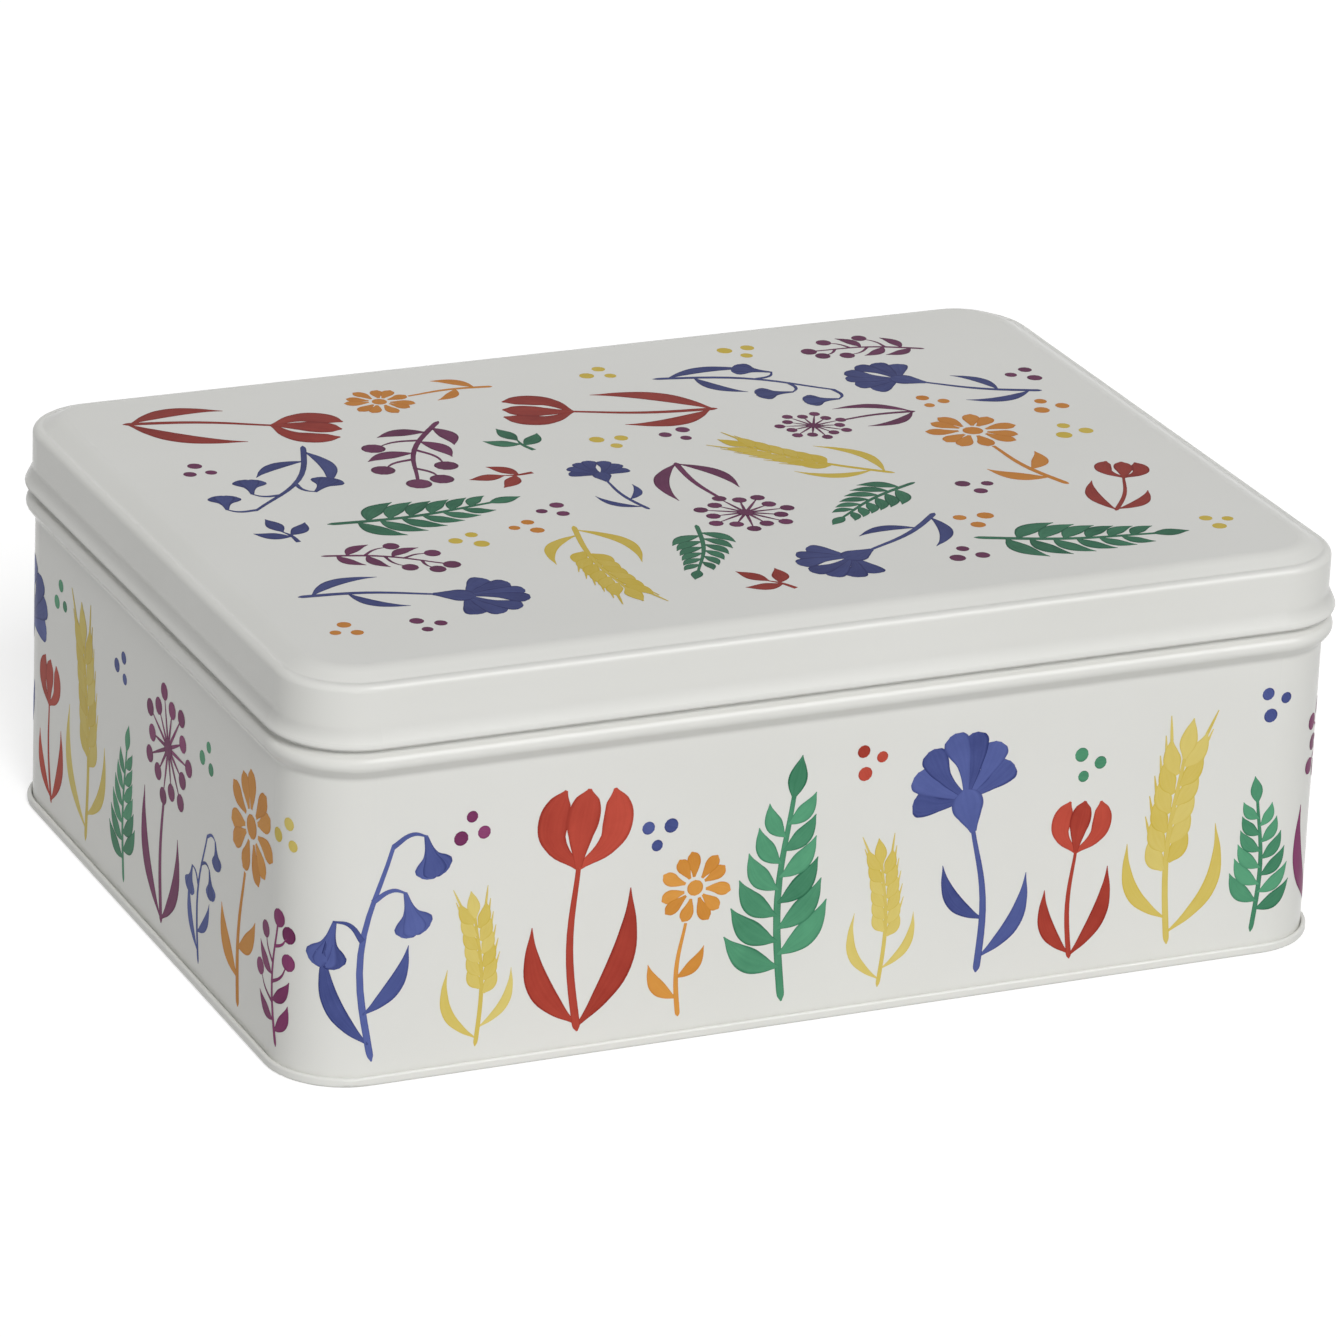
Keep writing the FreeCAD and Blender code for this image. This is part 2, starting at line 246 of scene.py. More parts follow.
sheetSide = makeSheetSide()
panelSide = makePanelSide()
rimEase = makeRimEase()
enamelSkin = makeEnamelSkin()
tinplate = makeTinplate()


def enamelledSheet(name, sideGroup, values, rim=None):
    material, tree, shader = newMaterial(name)
    side = placeGroup(tree, sideGroup, values)["Inside"]
    skin = placeGroup(tree, enamelSkin)
    metal = placeGroup(tree, tinplate)
    paint = blendColour(tree, skin["Cloud"], enamel["deep"], enamel["pale"])
    finish = blendValue(tree, skin["Handled"], enamel["gloss"], enamel["dull"])
    tree.links.new(blendColour(tree, side, paint, metal["Colour"]), shader["Base Color"])
    tree.links.new(blendValue(tree, side, finish, metal["Roughness"]), shader["Roughness"])
    tree.links.new(side, shader["Metallic"])
    tree.links.new(blendValue(tree, side, enamel["coat"], 0.0), shader["Coat Weight"])
    shader["Coat Roughness"].default_value = enamel["coatRough"]
    shader["Specular IOR Level"].default_value = enamel["shine"]
    peel = calc(tree, "MULTIPLY", skin["Height"], enamel["peelDepth"])
    lines = calc(tree, "MULTIPLY", metal["Height"], bareTin["lineDepth"])
    bump = addNode(tree, "Bump", {
        "Height": blendValue(tree, side, peel, lines), "Strength": 1.0, "Distance": 1.0})
    if rim:
        eased = placeGroup(tree, rimEase, {"Inside": side, **rim})["Normal"]
        tree.links.new(eased, bump.inputs["Normal"])
    tree.links.new(bump.outputs[0], shader["Normal"])
    return material


lidLow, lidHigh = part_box("lid")
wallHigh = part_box("body_wall")[1]
sheets = {
    "mouthRoll": 3.0 * mm,   # height of the wall's rolled mouth
    "baseSeam": 2.3 * mm,    # the seam round the base stays below this
    "lidTurn": -0.04,        # how far a face turns inward before it counts as inside
    "wallTurn": -0.02,
    "rimStart": 5.2 * mm,    # heights over the bottom of the lid's rim
    "rimFoot": 1.7 * mm,
    "rimEdge": 0.5 * mm,
    "rimLean": 0.5,          # how far the lip faces up
}
finishes = {
    "lid": enamelledSheet(
        "lidEnamel", sheetSide,
        {"Middle Height": lidLow.z, "Rim Height": 1.0, "Turn": sheets["lidTurn"]},
        {"Start": lidLow.z + sheets["rimStart"], "Foot": lidLow.z + sheets["rimFoot"],
         "Edge": lidLow.z + sheets["rimEdge"], "Lean": sheets["rimLean"]}),
    "body_wall": enamelledSheet(
        "wallEnamel", sheetSide,
        {"Middle Height": wallHigh.z / 2, "Rim Height": wallHigh.z - sheets["mouthRoll"],
         "Turn": sheets["wallTurn"]}),
    "base_plate": enamelledSheet("baseEnamel", panelSide, {"Height": sheets["baseSeam"]}),
}
for node, finish in finishes.items():
    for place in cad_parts[node].material_slots:
        place.material = finish
print("enamel and tinplate on", len(finishes), "sheets")


# Printed meadow: every plant is a few brush strokes in one ink. Plants are drawn flat, in millimetres,
# with heading 0 straight up and positive headings to the right.

dotTurns = [math.pi * k / 6 for k in range(7)]  # round a half circle
brushShapes = {  # (share of the length, half width as a share of the width)
    "stem": ((0.0, 0.1), (0.025, 0.4), (0.07, 0.47), (0.5, 0.42), (1.0, 0.28)),
    "leaf": ((0.0, 0.05), (0.22, 0.34), (0.48, 0.5), (0.76, 0.3), (1.0, 0.02)),
    "petal": ((0.0, 0.1), (0.4, 0.38), (0.66, 0.5), (0.88, 0.36), (1.0, 0.05)),
    "floret": ((0.0, 0.08), (0.5, 0.26), (0.82, 0.5), (0.95, 0.4), (1.0, 0.12)),
    "grain": ((0.0, 0.12), (0.34, 0.5), (0.7, 0.36), (1.0, 0.03)),
    "awn": ((0.0, 0.5), (0.6, 0.36), (1.0, 0.16)),
    "dot": tuple(((1 - math.cos(turn)) / 2, max(0.02, math.sin(turn) / 2)) for turn in dotTurns),
}
brush = namedtuple("brush", "shape start heading length width bend", defaults=(0.0,))
ground = (0, 0)


def spot(centre, across):
    return brush("dot", (centre[0], centre[1] - across / 2), 0, across, across)


def pointOn(stroke, share, aside=0.0):
    turn = math.radians(stroke.heading)
    ahead = stroke.length * share
    sway = stroke.length * stroke.bend * math.sin(math.pi * share) + aside
    return (stroke.start[0] + ahead * math.sin(turn) + sway * math.cos(turn),
            stroke.start[1] + ahead * math.cos(turn) - sway * math.sin(turn))


def headingOn(stroke, share):
    return stroke.heading + math.degrees(math.atan(stroke.bend * math.pi * math.cos(math.pi * share)))


def further(place, heading, distance):
    turn = math.radians(heading)
    return (place[0] + distance * math.sin(turn), place[1] + distance * math.cos(turn))


def toSide(amount, turn):  # positive on the right of the stem
    return amount if turn > 0 else -amount


def moved(strokes, at, turn, size, flip):
    spin = math.radians(turn)
    result = []
    for each in strokes:
        x, y = each.start[0] * flip * size, each.start[1] * size
        start = (at[0] + x * math.cos(spin) + y * math.sin(spin),
                 at[1] - x * math.sin(spin) + y * math.cos(spin))
        result.append(brush(each.shape, start, each.heading * flip + turn, each.length * size,
                            each.width * size, each.bend * flip))
    return result


def leavesOn(stem, leaves):  # each leaf: share of the stem, heading, length, width, bend
    return [brush("leaf", pointOn(stem, share), *rest) for share, *rest in leaves]


tulipShape = {
    "stem": (2, 39, 2.0, 0.05),  # heading, length, width, bend, here and in the other plants
    "leaves": (((0.3, 1), -20, 33, 6.0, -0.13), ((0.6, 2), 25, 26, 5.6, 0.15)),  # start first
    "cupAt": 0.98,               # share of the stem
    "petals": ((-17, 19, 7.0, -0.24), (18, 18.5, 7.0, 0.25), (1, 18, 7.6, 0.03)),
}


def tulip():
    stem = brush("stem", ground, *tulipShape["stem"])
    cup, lean = pointOn(stem, tulipShape["cupAt"]), headingOn(stem, 1.0)
    leaves = [brush("leaf", *leaf) for leaf in tulipShape["leaves"]]
    petals = [brush("petal", cup, lean + turn, *rest) for turn, *rest in tulipShape["petals"]]
    return leaves + [stem] + petals


fernShape = {
    "stem": (1, 47, 1.9, -0.05),
    "pairs": 6,
    "lowest": 0.2,      # shares of the stem: the first pair, from pair to pair, and within a pair
    "apart": 0.125,
    "stagger": 0.03,
    "spread": 50,       # degrees, and how much less for each next pair
    "closing": 3,
    "length": 15.5,
    "shorter": 1.3,
    "width": 5.6,
    "narrower": 0.35,
    "bend": 0.12,
    "tip": (0.97, 10, 4.4),  # share of the stem, length, width
}


def fern():
    stem = brush("stem", ground, *fernShape["stem"])
    strokes = [stem]
    for k in range(fernShape["pairs"]):
        share = fernShape["lowest"] + fernShape["apart"] * k
        for side in (-1, 1):
            root = pointOn(stem, share + fernShape["stagger"] * side)
            turn = side * (fernShape["spread"] - fernShape["closing"] * k)
            strokes.append(brush("leaf", root, headingOn(stem, share) + turn,
                                 fernShape["length"] - fernShape["shorter"] * k,
                                 fernShape["width"] - fernShape["narrower"] * k,
                                 fernShape["bend"] * side))
    share, length, width = fernShape["tip"]
    return strokes + [brush("leaf", pointOn(stem, share), headingOn(stem, 1.0), length, width)]


daisyShape = {
    "stem": (-3, 33, 1.9, 0.06),
    "leaves": ((0.2, 38, 17, 5.2, 0.14), (0.42, -44, 14, 4.6, -0.14)),
    "headUp": 12.4,     # from the top of the stem to the middle of the flower
    "eye": 5.6,
    "rays": 11,
    "ring": 3.9,        # where the petals start and end, from the middle
    "reach": 13.0,
    "shorter": 0.8,     # every other petal
    "width": 4.7,
    "bend": 0.06,
    "uneven": (7, -4),  # degrees, for each third petal and for the others
}


def daisy():
    stem = brush("stem", ground, *daisyShape["stem"])
    centre = further(pointOn(stem, 1.0), headingOn(stem, 1.0), daisyShape["headUp"])
    strokes = leavesOn(stem, daisyShape["leaves"]) + [stem]
    for k in range(daisyShape["rays"]):
        turn = 360 * k / daisyShape["rays"] + daisyShape["uneven"][0 if k % 3 == 0 else 1]
        length = daisyShape["reach"] - daisyShape["ring"] - (k % 2) * daisyShape["shorter"]
        strokes.append(brush("petal", further(centre, turn, daisyShape["ring"]), turn, length,
                             daisyShape["width"], daisyShape["bend"] * (k % 3 - 1)))
    return strokes + [spot(centre, daisyShape["eye"])]


cornflowerShape = {
    "stem": (4, 34, 1.8, -0.06),
    "leaves": ((0.1, -30, 21, 3.8, -0.16), (0.36, 36, 17, 3.6, 0.16)),
    "cupAt": 0.97,
    "cup": (10.5, 7.4),
    # turn, length
    "florets": ((-72, 12.5), (72, 12.5), (-45, 14), (45, 14), (-20, 15), (21, 15), (0, 15.5)),
    "floretFrom": 0.78,  # share of the cup
    "floretWidth": 6.0,
    "floretBend": 0.07,
}


def cornflower():
    stem = brush("stem", ground, *cornflowerShape["stem"])
    lean = headingOn(stem, 1.0)
    cup = brush("petal", pointOn(stem, cornflowerShape["cupAt"]), lean, *cornflowerShape["cup"])
    strokes = leavesOn(stem, cornflowerShape["leaves"]) + [stem]
    for turn, length in cornflowerShape["florets"]:
        strokes.append(brush("floret", pointOn(cup, cornflowerShape["floretFrom"]), lean + turn, length,
                             cornflowerShape["floretWidth"],
                             toSide(cornflowerShape["floretBend"], turn)))
    return strokes + [cup]


berriesShape = {
    "stem": (-2, 46, 1.7, 0.08),
    # share of the stem, turn, length
    "twigs": ((0.34, 48, 12), (0.5, -46, 12), (0.66, 44, 10), (0.8, -42, 9)),
    "twigWidth": 1.3,
    "berry": 6.4,
    "berryAt": 1.18,     # share of the twig
    "topBerry": 6.8,
    "topBerryAt": 1.05,  # share of the stem
    "leaves": ((0.12, -46), (0.2, 50), (0.36, -52), (0.56, 54)),
    "leaf": (14, 5.0),
    "bend": 0.12,
}


def berries():
    stem = brush("stem", ground, *berriesShape["stem"])
    strokes = [stem]
    for share, turn, length in berriesShape["twigs"]:
        twig = brush("awn", pointOn(stem, share), headingOn(stem, share) + turn, length,
                     berriesShape["twigWidth"], toSide(berriesShape["bend"], turn))
        strokes += [twig, spot(pointOn(twig, berriesShape["berryAt"]), berriesShape["berry"])]
    for share, turn in berriesShape["leaves"]:
        strokes.append(brush("leaf", pointOn(stem, share), headingOn(stem, share) + turn,
                             *berriesShape["leaf"], toSide(berriesShape["bend"], turn)))
    return strokes + [spot(pointOn(stem, berriesShape["topBerryAt"]), berriesShape["topBerry"])]


wheatShape = {
    "stem": (3, 45, 1.6, -0.05),
    "leaves": ((0.06, 24, 27, 3.6, 0.2), (0.14, -28, 22, 3.4, -0.18)),
    "pairs": 6,
    "lowest": 0.42,     # shares of the stem, as in the fern
    "apart": 0.1,
    "stagger": 0.02,
    "aside": 0.6,
    "spread": 24,
    "grain": (9.0, 4.2),
    "grainBend": 0.1,
    "awn": (6.0, 0.8),
    "awnAt": 0.94,
    "awnTurn": 9,
    "tip": (0.98, 9.5, 4.2),
}


def wheat():
    stem = brush("stem", ground, *wheatShape["stem"])
    strokes = leavesOn(stem, wheatShape["leaves"]) + [stem]
    for k in range(wheatShape["pairs"]):
        share = wheatShape["lowest"] + wheatShape["apart"] * k
        for side in (-1, 1):
            root = pointOn(stem, share + wheatShape["stagger"] * side, wheatShape["aside"] * side)
            grain = brush("grain", root, headingOn(stem, share) + wheatShape["spread"] * side,
                          *wheatShape["grain"], wheatShape["grainBend"] * side)
            awn = brush("awn", pointOn(grain, wheatShape["awnAt"]),
                        grain.heading - wheatShape["awnTurn"] * side, *wheatShape["awn"])
            strokes += [awn, grain]
    share, length, width = wheatShape["tip"]
    return strokes + [brush("grain", pointOn(stem, share), headingOn(stem, 1.0), length, width)]


seedGlobeShape = {
    "stem": (-2, 31, 1.9, 0.05),
    "leaves": (((0, 1), -23, 24, 4.2, -0.15), ((0.4, 1), 21, 29, 4.4, 0.15)),
    "headUp": 11,
    "rays": 14,
    "lengths": (11.0, 8.6),  # in turn
    "rayWidth": 1.0,
    "seed": 4.0,
    "seedAt": 1.12,          # share of the ray
    "eye": 4.6,
}


def seedGlobe():
    stem = brush("stem", ground, *seedGlobeShape["stem"])
    centre = further(pointOn(stem, 1.0), headingOn(stem, 1.0), seedGlobeShape["headUp"])
    strokes = [brush("leaf", *leaf) for leaf in seedGlobeShape["leaves"]] + [stem]
    for k in range(seedGlobeShape["rays"]):
        ray = brush("awn", centre, 360 * (k + 0.5) / seedGlobeShape["rays"],
                    seedGlobeShape["lengths"][k % 2], seedGlobeShape["rayWidth"])
        strokes += [ray, spot(pointOn(ray, seedGlobeShape["seedAt"]), seedGlobeShape["seed"])]
    return strokes + [spot(centre, seedGlobeShape["eye"])]


bellsShape = {
    "stem": (6, 50, 1.7, -0.1),
    "leaves": ((0.08, -22, 25, 4.2, -0.14), (0.22, 36, 18, 4.0, 0.14)),
    # share of the stem, turn, length of the bell
    "bells": ((0.56, -62, 11), (0.74, 66, 10.5), (0.99, 58, 10)),
    "twig": (8, 1.3),
    "twigBend": -0.2,
    "bellAt": 0.95,     # share of the twig
    "hang": 14,         # degrees from straight down
    "open": 16,         # degrees from the middle petal to the outer ones
    "petalWidth": 5.4,
    "petalBend": 0.1,
}


def bells():
    stem = brush("stem", ground, *bellsShape["stem"])
    strokes = leavesOn(stem, bellsShape["leaves"]) + [stem]
    for share, turn, drop in bellsShape["bells"]:
        twig = brush("awn", pointOn(stem, share), headingOn(stem, share) + turn, *bellsShape["twig"],
                     toSide(bellsShape["twigBend"], turn))
        hang = 180 - toSide(bellsShape["hang"], turn)
        for side in (-1, 1, 0):
            strokes.append(brush("floret", pointOn(twig, bellsShape["bellAt"]),
                                 hang + bellsShape["open"] * side, drop,
                                 bellsShape["petalWidth"], -bellsShape["petalBend"] * side))
        strokes.append(twig)
    return strokes


sproutShape = {
    "stem": (0, 9, 1.5, 0.08),
    "leaves": ((0.5, -52), (0.62, 52), (0.95, 3)),
    "leaf": (11, 4.8),
    "bend": 0.0015,     # for each degree that a leaf turns
}
seedSpots = (((0, 0), 4.0), ((6.2, 1.5), 3.2), ((2.4, 6.0), 3.6))  # place, width


def sprout():
    stem = brush("awn", ground, *sproutShape["stem"])
    return [stem] + [
        brush("leaf", pointOn(stem, share), turn, *sproutShape["leaf"], sproutShape["bend"] * turn)
        for share, turn in sproutShape["leaves"]]


def seeds():
    return [spot(*each) for each in seedSpots]


plants = {  # drawing and ink of each
    "tulip": (tulip, "red"),
    "fern": (fern, "green"),
    "cornflower": (cornflower, "blue"),
    "daisy": (daisy, "amber"),
    "berries": (berries, "plum"),
    "wheat": (wheat, "mustard"),
    "seedGlobe": (seedGlobe, "plum"),
    "bells": (bells, "blue"),
}
fillers = {"sprout": (sprout, ("green", "blue", "red")), "seeds": (seeds, ("amber", "plum", "mustard"))}
wallPlan = {
    "halfLength": 120.0 * mm,
    "halfDepth": 87.5 * mm,
    "corner": 16.0 * mm,
    "step": 1.2 * mm,        # ink is cut this often where it goes round a corner
}
ink = {
    "film": 0.03 * mm,       # top of the ink over the enamel
    "thickness": 0.025 * mm,
    "layer": 0.0015 * mm,    # a later stroke lies this much over an earlier one
    "smoothness": 6,         # faces between two points of a stroke
    "smoothAngle": 30,
    "coat": 0.05,            # the inks lie over the varnish and stay duller
}
wallPrint = {
    "tall": ("tulip", "fern", "cornflower", "wheat", "seedGlobe", "daisy", "bells"),
    "short": ("daisy", "wheat", "tulip", "fern", "bells", "berries", "wheat"),
    "drift": ("blue", "red", "green", "blue", "green", "mustard", "plum"),  # seeds over the short plants
    "pairs": 17,
    "foot": 5.2,             # height of the ground line
    "bare": 14.0,            # unprinted width on each side of the side seam
    "tallSize": (0.96, 1.03),
    "shortSize": (0.60, 0.68),
    "shift": 2.0,            # most that a plant moves along and leans
    "lean": 3.0,
    "seedSize": (0.8, 0.8),
    "seedPlace": (-2, 47),   # from the foot of the plant
    "seedShift": 4.0,
    "seedTurn": 180.0,
    "gap": 1.0,
    "tries": 30,
    "tones": (0.0, 0.6),     # from washed to full ink
    "seed": 11,
}
lidPrint = {
    "halfLength": 107.0,
    "halfDepth": 74.5,
    "gap": 2.0,
    "tones": (0.8, 1.0),
    "patience": 90,          # tries before the next drawing gets its turn
    # kind, sizes, tries, and how far apart two of one ink stay
    "rounds": ((plants, (0.78, 0.86), 2400, 64.0), (plants, (0.54, 0.62), 2400, 44.0),
               (fillers, (0.75, 0.95), 1500, 25.0)),
    "seed": 5,
}
cell = 1.5                   # grid that keeps plants apart


def covered(strokes, gap):
    cells = set()
    for each in strokes:
        count = max(2, int(each.length / cell))
        reach = each.width / 2 + gap / 2
        span = int(reach / cell) + 1
        for k in range(count + 1):
            x, y = pointOn(each, k / count)
            column, line = round(x / cell), round(y / cell)
            around = range(-span, span + 1)
            cells.update((column + i, line + j) for i in around for j in around
                         if math.hypot((column + i) * cell - x, (line + j) * cell - y) <= reach)
    return cells


def wallLengths():
    straightX = 2 * (wallPlan["halfLength"] - wallPlan["corner"])
    straightY = 2 * (wallPlan["halfDepth"] - wallPlan["corner"])
    return (straightX / 2, straightY, straightX, straightY, straightX / 2)


def ontoWall(point):  # flat (along, up, lift) to its place on the wall, from the middle of the back
    along, up, lift = point
    radius = wallPlan["corner"]
    arc = radius * math.pi / 2
    rise = Vector((0, 0, up))
    at = Vector((0, wallPlan["halfDepth"], 0))
    ahead = Vector((-1, 0, 0))
    for run in wallLengths():
        aside = Vector((ahead.y, -ahead.x, 0))
        if along <= run:
            return at + ahead * along + aside * lift + rise
        centre = at + ahead * run - aside * radius
        along -= run
        if along <= arc:
            return centre + Matrix.Rotation(along / radius, 3, "Z") @ aside * (radius + lift) + rise
        along -= arc
        at, ahead = centre + ahead * radius, -aside
    return at


def cornerCuts():
    arc = wallPlan["corner"] * math.pi / 2
    count = round(arc / wallPlan["step"])
    at = 0.0
    for run in wallLengths()[:-1]:
        at += run
        for k in range(count + 1):
            yield at + arc * k / count
        at += arc


def inkRibbons(name, strokes, tones, draw):
    bpy.ops.object.select_all(action="DESELECT")
    bpy.ops.curve.primitive_bezier_curve_add()
    piece = bpy.context.object
    piece.name = piece.data.name = name
    curve = piece.data
    curve.splines.clear()
    curve.dimensions = "3D"
    curve.twist_mode = "Z_UP"
    curve.extrude = 1.0      # so that a point's radius is its half width in metres
    curve.resolution_u = ink["smoothness"]
    faceTones = []
    for order, stroke in strokes:
        profile = brushShapes[stroke.shape]
        spline = curve.splines.new("BEZIER")
        spline.bezier_points.add(len(profile) - 1)
        spline.radius_interpolation = "CARDINAL"
        spline.resolution_u = ink["smoothness"]
        for point, (share, half) in zip(spline.bezier_points, profile):
            x, y = pointOn(stroke, share)
            point.co = (x * mm, y * mm, ink["film"] + order * ink["layer"])
            point.radius = half * stroke.width * mm
            point.tilt = math.pi / 2
            point.handle_left_type = point.handle_right_type = "AUTO"
        faceTones += [draw.uniform(*tones)] * ((len(profile) - 1) * ink["smoothness"])
    bpy.ops.object.convert(target="MESH")
    piece = bpy.context.object
    marks = piece.data.attributes.new("strokeTone", "FLOAT", "FACE")
    marks.data.foreach_set("value", faceTones)
    return piece


def finishInk(piece, material, body):
    pick(piece)
    film = piece.modifiers.new("film", "SOLIDIFY")
    film.thickness = ink["thickness"]
    film.offset = -1.0
    bpy.ops.object.modifier_apply(modifier=film.name)
    bpy.ops.object.shade_smooth_by_angle(angle=math.radians(ink["smoothAngle"]))
    piece.data.materials.clear()
    piece.data.materials.append(material)
    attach(piece, body)


def printedWall():
    draw = random.Random(wallPrint["seed"])
    layers, taken = {}, set()
    length = (sum(wallLengths()) + 2 * math.pi * wallPlan["corner"]) / mm
    pitch = (length - 2 * wallPrint["bare"]) / (2 * wallPrint["pairs"])

    def settle(drawing, colour, at, shift, turn, sizes, must):
        for attempt in range(wallPrint["tries"]):
            place = (at[0] + draw.uniform(-shift, shift),
                     at[1] + (0 if must else draw.uniform(-shift, shift)))
            strokes = moved(drawing(), place, draw.uniform(-turn, turn), draw.uniform(*sizes),
                            draw.choice((-1, 1)))
            cells = covered(strokes, wallPrint["gap"])
            if not cells & taken:
                break
        if must or not cells & taken:
            taken.update(cells)
            layers.setdefault(colour, []).extend(enumerate(strokes))

    middles = [wallPrint["bare"] + pitch * (k + 0.5) for k in range(2 * wallPrint["pairs"])]
    for row, rowMiddles in (("tall", middles[::2]), ("short", middles[1::2])):
        for k, along in enumerate(rowMiddles):
            drawing, colour = plants[wallPrint[row][k % len(wallPrint[row])]]
            settle(drawing, colour, (along, wallPrint["foot"]), wallPrint["shift"], wallPrint["lean"],
                   wallPrint[row + "Size"], True)
    aside, up = wallPrint["seedPlace"]
    for k, along in enumerate(middles[1::2]):
        colour = wallPrint["drift"][k % len(wallPrint["drift"])]
        settle(seeds, colour, (along + aside, wallPrint["foot"] + up), wallPrint["seedShift"],
               wallPrint["seedTurn"], wallPrint["seedSize"], False)
    return layers


def printedLid():
    draw = random.Random(lidPrint["seed"])
    layers, taken, centres = {}, set(), []
    edgeX, edgeY = int(lidPrint["halfLength"] / cell), int(lidPrint["halfDepth"] / cell)
    for choices, sizes, tries, apart in lidPrint["rounds"]:
        names = list(choices)
        placed = 0
        for attempt in range(tries):
            drawing, colour = choices[names[(placed + attempt // lidPrint["patience"]) % len(names)]]
            colour = colour if choices is plants else draw.choice(colour)
            at = (draw.uniform(-1, 1) * lidPrint["halfLength"],
                  draw.uniform(-1, 1) * lidPrint["halfDepth"])
            strokes = moved(drawing(), at, draw.uniform(0, 360), draw.uniform(*sizes),
                            draw.choice((-1, 1)))
            middle = pointOn(strokes[0], 0.5)
            if any(colour == other and math.dist(middle, centre) < apart for other, centre in centres):
                continue
            cells = covered(strokes, lidPrint["gap"])
            if cells & taken or any(abs(x) > edgeX or abs(y) > edgeY for x, y in cells):
                continue
            taken |= cells
            centres.append((colour, middle))
            layers.setdefault(colour, []).extend(enumerate(strokes))
            placed += 1
    return layers


# Ink: pigment pooled at the edges of a stroke, streaks along it, cloudy in the middle

inkColours = {  # washed, full
    "red": (fromScreen(200, 84, 68), fromScreen(128, 34, 28)),
    "green": (fromScreen(95, 166, 128), fromScreen(26, 86, 62)),
    "blue": (fromScreen(94, 106, 168), fromScreen(40, 46, 100)),
    "plum": (fromScreen(148, 72, 118), fromScreen(84, 28, 66)),
    "amber": (fromScreen(226, 160, 78), fromScreen(194, 120, 40)),
    "mustard": (fromScreen(224, 206, 122), fromScreen(206, 178, 60)),
}
inkGrain = {
    "streaks": 0.30,        # how strong the streaks, the pooling and the clouds are
    "pooling": 0.35,
    "clouds": 0.45,
    "poolFrom": 0.72,       # share of the half width
    "streakAlong": 1.6,     # streaks in a stroke, along and across it
    "streakAcross": 9.0,
    "streakApart": 60.0,    # so that no two strokes have the same streaks
    "cloudScale": 160.0,
    "toneLow": 0.02,        # depth of the palest stroke, and how much the darkest has more
    "toneSpan": 0.85,
}


def makeBrushTone():
    group, given, out = newGroup("brushTone", {
        "Streaks": inkGrain["streaks"], "Pooling": inkGrain["pooling"], "Clouds": inkGrain["clouds"],
    }, {"Depth": "Float"})
    parts = splitXYZ(group, addNode(group, "UVMap", uv_map="UVMap").outputs[0])
    tone = addNode(group, "Attribute", attribute_name="strokeTone").outputs["Fac"]
    across = calc(group, "ABSOLUTE", calc(group, "MULTIPLY_ADD", parts["Y"], 2.0, -1.0))
    pooled = calc(group, "MULTIPLY", ramp(group, across, inkGrain["poolFrom"], 1.0), given["Pooling"])
    where = joinXYZ(group, calc(group, "MULTIPLY", parts["X"], inkGrain["streakAlong"]),
                    calc(group, "MULTIPLY", parts["Y"], inkGrain["streakAcross"]),
                    calc(group, "MULTIPLY", tone, inkGrain["streakApart"]))
    streaks = calc(group, "SUBTRACT", speckle(group, where, 1.0, detail=3.0), 0.5)
    streaks = calc(group, "MULTIPLY", streaks, given["Streaks"])
    cloud = addNode(group, "TexCoord").outputs["Object"]
    cloud = speckle(group, cloud, inkGrain["cloudScale"], detail=4.0, rough=0.6)
    cloud = calc(group, "MULTIPLY", calc(group, "SUBTRACT", cloud, 0.5), given["Clouds"])
    depth = calc(group, "MULTIPLY_ADD", tone, inkGrain["toneSpan"], inkGrain["toneLow"])
    depth = calc(group, "ADD", calc(group, "ADD", depth, pooled), calc(group, "ADD", streaks, cloud))
    group.links.new(calc(group, "MINIMUM", calc(group, "MAXIMUM", depth, 0.0), 1.0), out["Depth"])
    return group


brushTone = makeBrushTone()


def inkFinish(colour):
    material, tree, shader = newMaterial("ink" + colour.capitalize())
    washed, full = inkColours[colour]
    depth = placeGroup(tree, brushTone)["Depth"]
    skin = placeGroup(tree, enamelSkin)
    finish = blendValue(tree, skin["Handled"], enamel["gloss"], enamel["dull"])
    tree.links.new(blendColour(tree, depth, washed, full), shader["Base Color"])
    tree.links.new(finish, shader["Roughness"])
    shader["Coat Weight"].default_value = ink["coat"]
    shader["Coat Roughness"].default_value = enamel["coatRough"]
    shader["Specular IOR Level"].default_value = enamel["shine"]
    peel = calc(tree, "MULTIPLY", skin["Height"], enamel["peelDepth"])
    bump = addNode(tree, "Bump", {"Height": peel, "Strength": 1.0, "Distance": 1.0})
    tree.links.new(bump.outputs[0], shader["Normal"])
    return material


def printInks():
    inks = {colour: inkFinish(colour) for colour in inkColours}
    draw = random.Random(wallPrint["seed"])
    for colour, strokes in sorted(printedWall().items()):
        piece = inkRibbons("wallPrint" + colour.capitalize(), strokes, wallPrint["tones"], draw)
        pick(piece)
        bpy.ops.object.mode_set(mode="EDIT")
        for cut in cornerCuts():
            bpy.ops.mesh.select_all(action="SELECT")
            bpy.ops.mesh.bisect(plane_co=(cut, 0, 0), plane_no=(1, 0, 0))
        bpy.ops.object.mode_set(mode="OBJECT")
        for point in piece.data.vertices:
            point.co = ontoWall(point.co)
        finishInk(piece, inks[colour], "tin")
    for colour, strokes in sorted(printedLid().items()):
        piece = inkRibbons("lidPrint" + colour.capitalize(), strokes, lidPrint["tones"], draw)
        pick(piece)
        bpy.ops.transform.translate(value=(0, 0, lidHigh.z))
        bpy.ops.object.transform_apply(location=True, rotation=False, scale=False)
        finishInk(piece, inks[colour], "lid")


printInks()
print("meadow printed in", len(inkColours), "inks")


# Stage: a pale floor that keeps the shadow, an even fill, a soft key and a softbox for the varnish

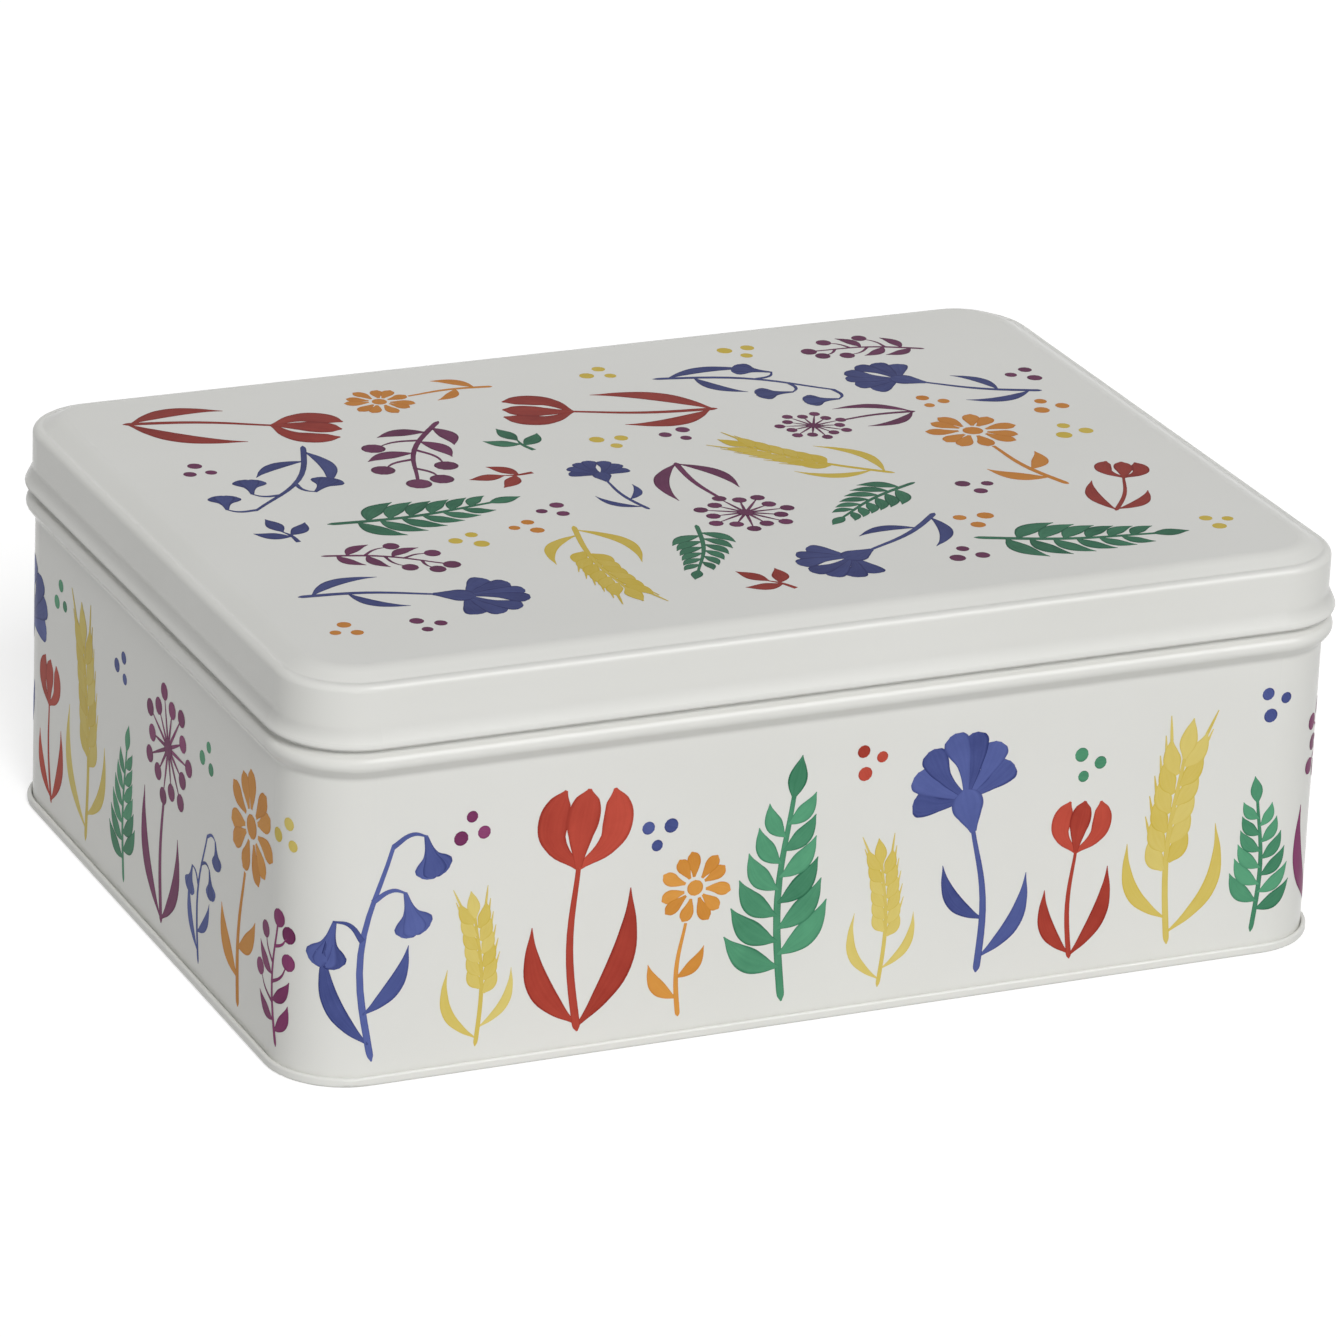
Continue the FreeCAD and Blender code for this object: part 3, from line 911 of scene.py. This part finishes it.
stage = {
    "floorSize": 12.0,
    "floorDrop": 0.02 * mm,
    "floorColour": (0.64, 0.64, 0.635, 1.0),
    "floorLift": 0.62,       # added for the camera and for reflections, so that the floor reads white
    "paperScale": 400.0,
    "paperRough": (0.85, 0.95),
    "white": (1.0, 1.0, 1.0, 1.0),
    "fill": 0.30,
    # from where, strength, width in degrees
    "key": ((-0.12, -0.80, 0.60), 2.0, 26),
    "glint": ((0.39, -0.58, 0.70), 2.0, 40),  # only the varnish and bare metal pick it up
}


def seenDirectly(tree):
    path = addNode(tree, "LightPath").outputs
    seen = calc(tree, "MAXIMUM", path["Is Camera Ray"], path["Is Glossy Ray"])
    return calc(tree, "MAXIMUM", seen, path["Is Transmission Ray"])


def makeFloor():
    bpy.ops.object.select_all(action="DESELECT")
    bpy.ops.mesh.primitive_plane_add(size=stage["floorSize"], location=(0, 0, -stage["floorDrop"]))
    floor = bpy.context.object
    floor.name = "floor"
    material, tree, shader = newMaterial("floorPaper")
    grain = speckle(tree, addNode(tree, "TexCoord").outputs["Object"], stage["paperScale"])
    shader["Base Color"].default_value = stage["floorColour"]
    shader["Specular IOR Level"].default_value = 0.0
    tree.links.new(ramp(tree, grain, 0.0, 1.0, *stage["paperRough"]), shader["Roughness"])
    shader["Emission Color"].default_value = stage["white"]
    lift = calc(tree, "MULTIPLY", seenDirectly(tree), stage["floorLift"])
    tree.links.new(lift, shader["Emission Strength"])
    floor.data.materials.append(material)


def makeWorld():
    world = bpy.data.worlds.new("studio")
    scene.world = world
    world.use_nodes = True
    tree = world.node_tree
    background = tree.nodes["Background"].inputs
    background["Color"].default_value = stage["white"]
    tree.links.new(blendValue(tree, seenDirectly(tree), stage["fill"], 1.0), background["Strength"])


def makeLight(name):
    toward, strength, width = stage[name]
    bpy.ops.object.light_add(type="SUN")
    light = bpy.context.object
    light.name = name
    light.data.energy = strength
    light.data.angle = math.radians(width)
    light.rotation_mode = "QUATERNION"
    light.rotation_quaternion = Vector(toward).to_track_quat("Z", "Y")
    return light


cameraView = {
    "place": (-0.6528, -1.4091, 0.6664),
    "turn": 24.87,      # degrees to the right of straight ahead
    "dip": 21.78,       # degrees below level
    "roll": 2.44,
    "lens": 205.8,
    "sensor": 36.0,
    "near": 0.05,
    "far": 50.0,
}


def makeCamera():
    bpy.ops.object.camera_add()
    camera = bpy.context.object
    camera.name = "camera"
    camera.matrix_world = (Matrix.Translation(cameraView["place"])
                           @ Matrix.Rotation(-math.radians(cameraView["turn"]), 4, "Z")
                           @ Matrix.Rotation(math.radians(90 - cameraView["dip"]), 4, "X")
                           @ Matrix.Rotation(math.radians(cameraView["roll"]), 4, "Z"))
    camera.data.lens = cameraView["lens"]
    camera.data.sensor_width = cameraView["sensor"]
    camera.data.clip_start = cameraView["near"]
    camera.data.clip_end = cameraView["far"]
    scene.camera = camera


makeFloor()
makeWorld()
makeLight("key").visible_glossy = False
makeLight("glint").visible_diffuse = False
makeCamera()
print("stage, light and camera set")
